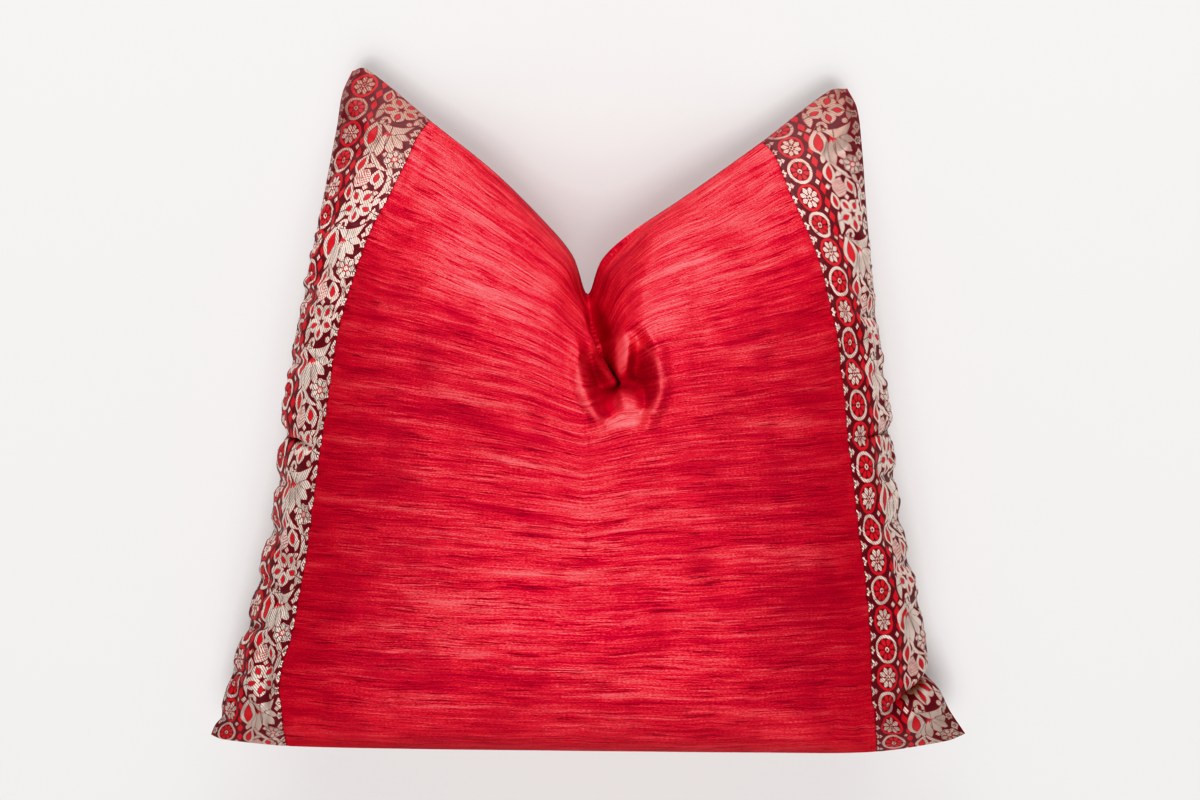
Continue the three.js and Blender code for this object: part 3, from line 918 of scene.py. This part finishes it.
class BrocadeKit(NodeKit):
    # Every shape of the weave is a depth in millimetres, above 0 inside it, in the list of its colour. In a
    # list the deepest one counts where several meet
    def __init__(self, shiftAcross, firstFlower):
        super().__init__("wovenBrocade")
        across, self.along = self.clothPlace()
        self.across = across + shiftAcross
        self.pitch = brocade["repeat"] / 4
        self.phase = firstFlower + brocade["medallionStep"]
        self.flowerX, self.flowerY = self.across - brocade["floral"], self.along - firstFlower
        self.silver, self.red, self.redOver, self.darkOver = [], [], [], []

    def wrapped(self, value, step):
        # distance from the nearest of a row of points, from minus to plus half a step
        return self.math("WRAP", value, step / 2, -step / 2)

    def fromRow(self, step, after=0.0):
        # distance along from the nearest of a row that starts at a medallion, both in medallion pitches
        return self.wrapped(self.along - (self.phase + self.pitch * after), self.pitch * step)

    def byTurns(self, step):
        # 1 at every second place of such a row, 0 at the others
        return self.math("LESS_THAN", abs(self.fromRow(step)), self.pitch * step / 4)

    def seenFrom(self, x, y, turn=0.0):
        # across and along from one place of the vine's repeat, turned
        return turned(self.flowerX - x, self.wrapped(self.flowerY - y, brocade["repeat"]), turn)

    def leaf(self, x, y, long, wide, bend=0.0, fat=0.0):
        # depth inside a leaf along x: its half width is a parabola, leaning to the near end where it is fat,
        # and its middle line bends as the same parabola
        t = x / (long / 2)
        full = 1.0 - t * t
        half = full * (wide / 2)
        if fat:
            half = half * (1.0 - t * fat | 0.2)
        return half - abs(y - full * bend)

    def ringOf(self, x, y, petals, turn=0.0):
        # distance from the middle, and the same place seen from the nearest of a ring of petals
        angle = self.wrapped(self.math("ARCTAN2", y, x) + turn, 2 * math.pi / petals)
        out = far(x, y)
        return out, out * self.math("COSINE", angle), out * self.math("SINE", angle)

    def disc(self, x, y, radius):
        return radius - far(*self.seenFrom(x, y))

    def deepest(self, depths, parted=False):
        # parted also tells how deep a place lies in the line that parts two shapes where they meet
        result, line = depths[0], None
        for depth in depths[1:]:
            if parted:
                meeting = band(result - depth, brocade["parting"]) & result & depth
                line = meeting if line is None else line | meeting
            result = result | depth
        return (result, line) if parted else result

    def inside(self, depth, soft=0.2):
        return self.ramp(depth, -soft, soft)

    def drawRows(self):
        # dots along both edges, lozenges and small rosettes by turns
        sunk = brocade["sunk"]
        for column in brocade["dots"]:
            dx, dy, turns = self.across - column, self.fromRow(0.5), self.byTurns(1)
            out, px, py = self.ringOf(dx, dy, 6)
            lozenge = brocade["lozenge"] - (abs(dy) * 0.78 + abs(dx) * 1.15)
            rosette = brocade["rosette"] - (abs(py) * 1.1 + out)
            self.silver += [lozenge - turns * sunk, rosette - (1.0 - turns) * sunk]
            self.darkOver.append(band(out - 1.2, 0.35))
        # medallions, by turns a silver ring round a red flower and a red ring round a silver one, with beads
        dx, dy, turns = (self.across - brocade["medallions"]) * 1.1, self.fromRow(1) * 0.93, self.byTurns(2)
        out, px, py = self.ringOf(dx, dy, 8, math.pi / 8)
        ring = band(out - (brocade["medallionRadius"] - brocade["ringHalf"]), brocade["ringHalf"])
        petal = self.leaf(px - 5.8, py, 6.8, 3.8, 0.0, -0.45)
        inRed, inSilver = turns * sunk, (1.0 - turns) * sunk
        self.silver += [ring - inSilver, petal - inRed, band(out - 1.6, 0.5)]
        self.red += [ring - inRed, petal - inSilver]
        for column in brocade["beads"]:
            bead = abs(self.fromRow(1, 0.5)) * 0.8 + abs(self.across - column)
            self.silver.append(brocade["bead"] - bead)
        # red diamonds whose side corners are cut off
        dx, dy = abs(self.across - brocade["diamonds"]), abs(self.fromRow(0.5, 0.25))
        self.red.append(3.3 - (dy * 0.58 + dx) & 2.8 - dx)

    def drawVine(self):
        # big flower of five petals, with red hearts and dark lines between them
        out, px, py = self.ringOf(*self.seenFrom(0, 0, -18), 5)
        petal = self.leaf(px - 8.8, py, 14.2, 12.2, 0.0, -0.3)
        self.silver.append(petal)
        self.redOver += [petal - 4.2, band(out - 1.9, 0.5)]
        self.darkOver += [band(petal - 3.9, 0.3), band(py, 0.35) & out - 12.4]
        # the table's shapes, some with a red core, then a red disc between the leaflets, the ends of the horn
        # and of the paisley's curl, and the curl itself
        for px, py, turn, long, wide, bend, fat, core in zip(*vineShapes.values()):
            shape = self.leaf(*self.seenFrom(px, py, turn), long, wide * brocade["fullness"], bend, fat)
            self.silver.append(shape)
            if core:
                self.redOver.append(shape - core)
                self.darkOver.append(band(shape - (core - 0.2), 0.3))
        self.red.append(self.disc(2.4, -34.5, 8.0))
        self.silver += [self.disc(12.6, -14.8, 2.5), self.disc(-5.4, -20.6, 1.8)]
        x, y = self.seenFrom(-8.0, -17.6)
        self.silver.append(band(self.disc(-8.0, -17.6, 3.5), 1.35) & (x + 1.0 | y + 1.5))
        # small rose of seven petals
        out, px, py = self.ringOf(*self.seenFrom(13.4, 46.0), 7)
        petal = self.leaf(px - 5.4, py, 8.8, 7.4, 0.0, -0.3)
        self.silver.append(petal | 2.4 - out)
        self.redOver.append(band(out - 2.7, 0.5))
        self.darkOver.append(band(petal - 1.3, 0.35))
        # round leaf with slanting red veins
        x, y = self.seenFrom(-7.2, 24.4, 70)
        veined = self.leaf(x, y, 19, 15.5, 0.0, 0.2)
        self.silver.append(veined)
        vein = self.math("SINE", (abs(y) * 0.9 - x) * (2 * math.pi / 3.0))
        self.redOver.append(veined - 0.9 & (vein - 0.55) * 1.2)
        # single small squares between the leaves
        for column, row in ((-0.6, 15.8), (3.0, 49.0), (-19.4, 25.0), (-20.4, -20.0), (19.4, -26.0)):
            dx, dy = self.seenFrom(column, row, 45)
            self.silver.append(1.9 - (abs(dx) | abs(dy)))


def brocadeMaterial(shiftAcross, firstFlower):
    # woven border: silver dots, medallions, red diamonds, a flowering vine with paisleys, silver dots
    kit = BrocadeKit(shiftAcross, firstFlower)
    kit.drawRows()
    kit.drawVine()
    (silverDepth, parting), redDepth = kit.deepest(kit.silver, True), kit.deepest(kit.red)
    redTop, darkTop = kit.inside(kit.deepest(kit.redOver)), kit.inside(kit.deepest(kit.darkOver + [parting]))
    silverMask, redMask = kit.inside(silverDepth), kit.inside(redDepth)
    outline = kit.inside(silverDepth + brocade["outline"]) - silverMask

    hatch = kit.math("SINE", (kit.along * 0.9 + kit.across) * (2 * math.pi / brocade["hatch"]))
    weave = kit.math("SINE", kit.along * (2 * math.pi / brocade["weave"]))
    patchy = kit.noise(kit.across * 0.12, kit.along * 0.05, detail=3.0)
    # painted shade: the borders are darker at the ears and at the foot
    endsPaintedShade = kit.ramp(kit.along, *brocade["borderTopPaintedShade"]) | kit.ramp(kit.along, *brocade["borderFootPaintedShade"])
    silverTone = kit.mix(kit.ramp(hatch, -0.2, 0.8, 0.0, 0.85), brocade["silver"], brocade["shade"])
    silverTone = kit.mix(kit.ramp(patchy, 0.42, 0.68, 0.0, 0.4), silverTone, brocade["shade"])
    silverTone = kit.mix(endsPaintedShade * brocade["silverPaintedShade"], silverTone, brocade["shade"])
    colour = kit.mix(kit.ramp(weave, -1.0, 1.0, 0.0, 0.3), brocade["ground"], brocade["groundLow"])
    colour = kit.mix(redMask | outline * 0.6, colour, brocade["red"])
    colour = kit.mix(silverMask, colour, silverTone)
    colour = kit.mix(darkTop * silverMask, colour, brocade["ground"])
    colour = kit.mix(redTop * silverMask, colour, brocade["red"])
    # painted shade over the whole border at its ends
    colour = kit.mix(endsPaintedShade * brocade["borderPaintedShade"], colour, brocade["ground"])
    # the silver thread stands highest, the red one half as high, and both show slant lines and weave
    bare = silverMask * (1.0 - redTop) * (1.0 - darkTop)
    raised = bare + (redMask | redTop) * 0.5 + hatch * bare * 0.3 + weave * 0.08
    rough = kit.ramp(bare, 0.0, 1.0, *brocade["roughness"])
    return kit.finish(Base_Color=colour, Metallic=bare * brocade["metal"], Roughness=rough,
                      Specular_IOR_Level=brocade["gloss"],
                      Normal=kit.bump(raised, brocade["relief"], brocade["reliefShare"]))


backCloth = {
    "dark": (128, 16, 32), "light": (158, 26, 42), "roughness": 0.85, "sheen": 0.2,
    "weave": 6.0,  # radians of weave to a millimetre
    "relief": 0.0002,
}


def plainMaterial():
    # matt plain-woven red cloth: two sets of threads crossing, with slight unevenness
    kit = NodeKit("plainBackCloth")
    x, y = kit.clothPlace()
    weave = kit.math("SINE", x * backCloth["weave"]) * kit.math("SINE", y * backCloth["weave"])
    colour = kit.mix(kit.noise(x * 0.05, y * 0.3, detail=3.0), backCloth["dark"], backCloth["light"])
    return kit.finish(Base_Color=colour, Roughness=backCloth["roughness"], Sheen_Weight=backCloth["sheen"],
                      Normal=kit.bump(weave, backCloth["relief"]))


centrePiece.data.materials.append(silkMaterial())
leftPiece.data.materials.append(brocadeMaterial(3.0, 80.0))
rightPiece.data.materials.append(brocadeMaterial(-572.5, 64.7))
backPiece.data.materials.append(plainMaterial())
print("stage: materials made")

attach(centrePiece, "root")
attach(leftPiece, "root")
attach(rightPiece, "root")
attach(backPiece, "root")
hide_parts("filled_centre_panel")
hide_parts("left_border")
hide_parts("right_border")
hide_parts("back_panel")


studio = {
    "cameraPlace": (0.01025, 0.0075, 1.995), "lens": 68.12, "sensor": 36,
    "floor": (228, 227, 226), "floorHalf": 20,
    "world": 0.07, "backdrop": 0.76,  # the backdrop is paler than the light that it gives
    "facing": (0, 0, 0.1),  # the middle of the cushion, which the lamps face
}

floorMesh = bpy.data.meshes.new("studioFloor")
half = studio["floorHalf"]
corners = [(-half, -half, 0), (half, -half, 0), (half, half, 0), (-half, half, 0)]
floorMesh.from_pydata(corners, [], [(0, 1, 2, 3)])
floor = bpy.data.objects.new("studioFloor", floorMesh)
bpy.context.collection.objects.link(floor)
floorKit = NodeKit("paleFloor")
floorMesh.materials.append(floorKit.finish(Base_Color=paint(studio["floor"]), Roughness=0.8))

camera = bpy.data.objects.new("camera", bpy.data.cameras.new("camera"))
bpy.context.collection.objects.link(camera)
camera.location = studio["cameraPlace"]
camera.data.lens = studio["lens"]
camera.data.sensor_width = studio["sensor"]
bpy.context.scene.camera = camera


def softLight(name, kind, place, spread, power):
    # a lamp that faces the cushion; spread is a square lamp's side in metres, or the angle in radians that a
    # far one fills
    lamp = bpy.data.lights.new(name, kind)
    lamp.energy = power
    setattr(lamp, "size" if kind == "AREA" else "angle", spread)
    holder = bpy.data.objects.new(name, lamp)
    bpy.context.collection.objects.link(holder)
    holder.location = place
    away = np.array(studio["facing"]) - place
    away = away / np.linalg.norm(away)
    holder.rotation_euler = (math.acos(-away[2]), 0, math.atan2(-away[0], away[1]))
    return holder


softLight("topLight", "AREA", (0, 2.2, 1.0), 2.0, 82)
softLight("frontLight", "SUN", (0, -1.2, 2.2), 0.62, 3.5)
world = bpy.data.worlds.new("studioAir")
world.use_nodes = True
air = world.node_tree.nodes["Background"]
seen = world.node_tree.nodes.new("ShaderNodeLightPath").outputs["Is Camera Ray"]
strength = world.node_tree.nodes.new("ShaderNodeMapRange")
world.node_tree.links.new(seen, strength.inputs["Value"])
strength.inputs["To Min"].default_value = studio["world"]
strength.inputs["To Max"].default_value = studio["backdrop"]
world.node_tree.links.new(strength.outputs[0], air.inputs[1])
air.inputs[0].default_value = (1, 1, 1, 1)
bpy.context.scene.world = world
bpy.context.scene.view_settings.view_transform = "Khronos PBR Neutral"
print("stage: floor, camera and lights set")
